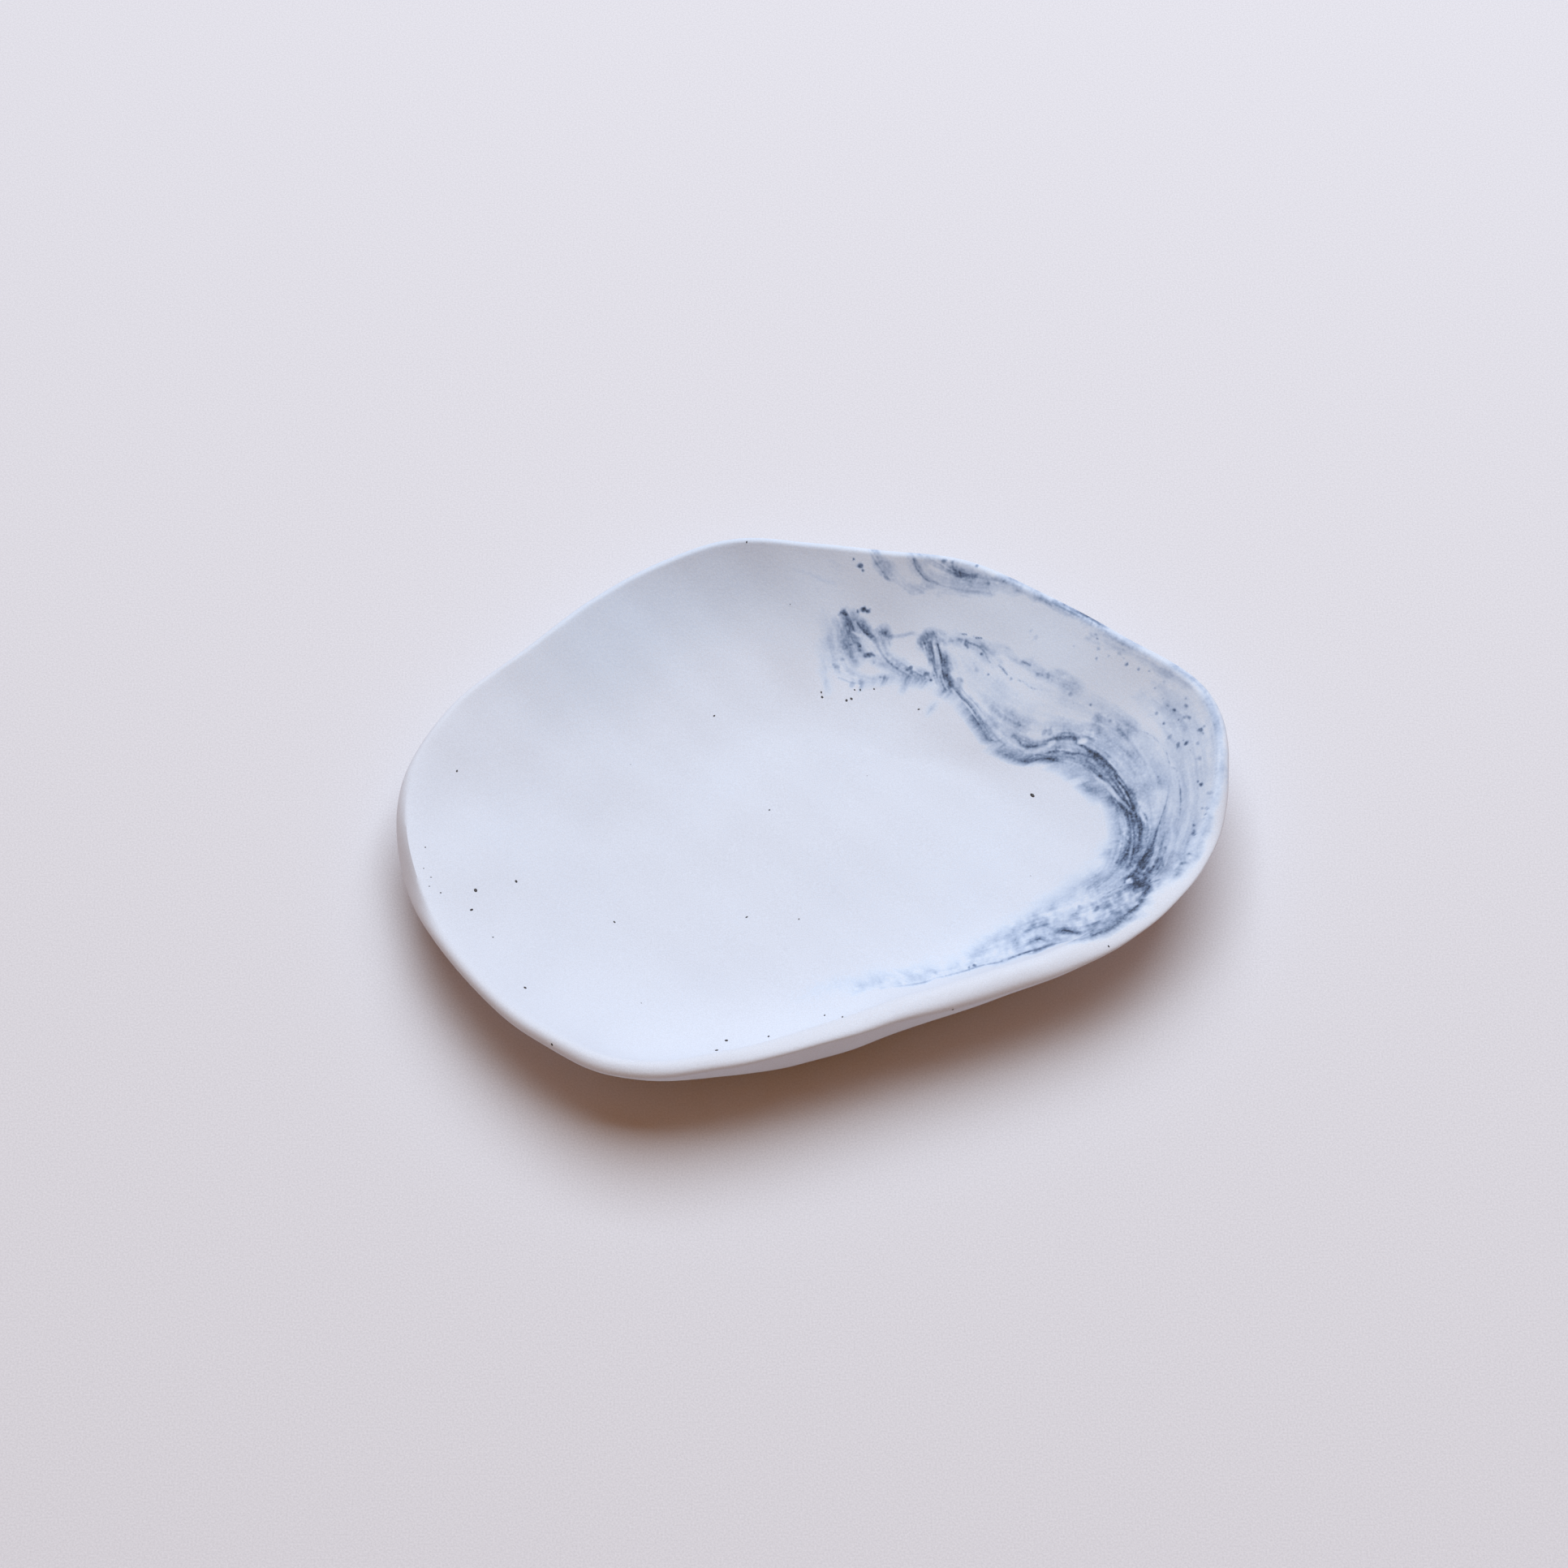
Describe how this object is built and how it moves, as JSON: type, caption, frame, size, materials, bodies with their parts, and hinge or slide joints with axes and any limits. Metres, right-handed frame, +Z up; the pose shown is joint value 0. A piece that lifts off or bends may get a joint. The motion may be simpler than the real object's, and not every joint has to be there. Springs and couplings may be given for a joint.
{
  "type": "soap dish",
  "caption": "Shallow free-form oval dish with a rounded, uneven rim and a flat foot, holding a bar of soap; its inner face is marbled towards the narrow end.",
  "frame": {"origin": "centre of the bounding box, in the plane of the flat foot that the dish stands on", "axes": "+X along the dish's long axis towards the narrow, marbled end; +Y towards the back rim, away from the picture's camera; +Z up out of the foot"},
  "size_m": [0.1302, 0.0982, 0.017],
  "materials": {
    "porcelain_body": "unglazed matt white porcelain, lightly sanded",
    "marbled_inlay": "unglazed matt porcelain, blue-grey stain marbled into white"
  },
  "bodies": {
    "root": {"porcelain_body": "porcelain_body", "marbled_inlay": "marbled_inlay"}
  },
  "joints": []
}
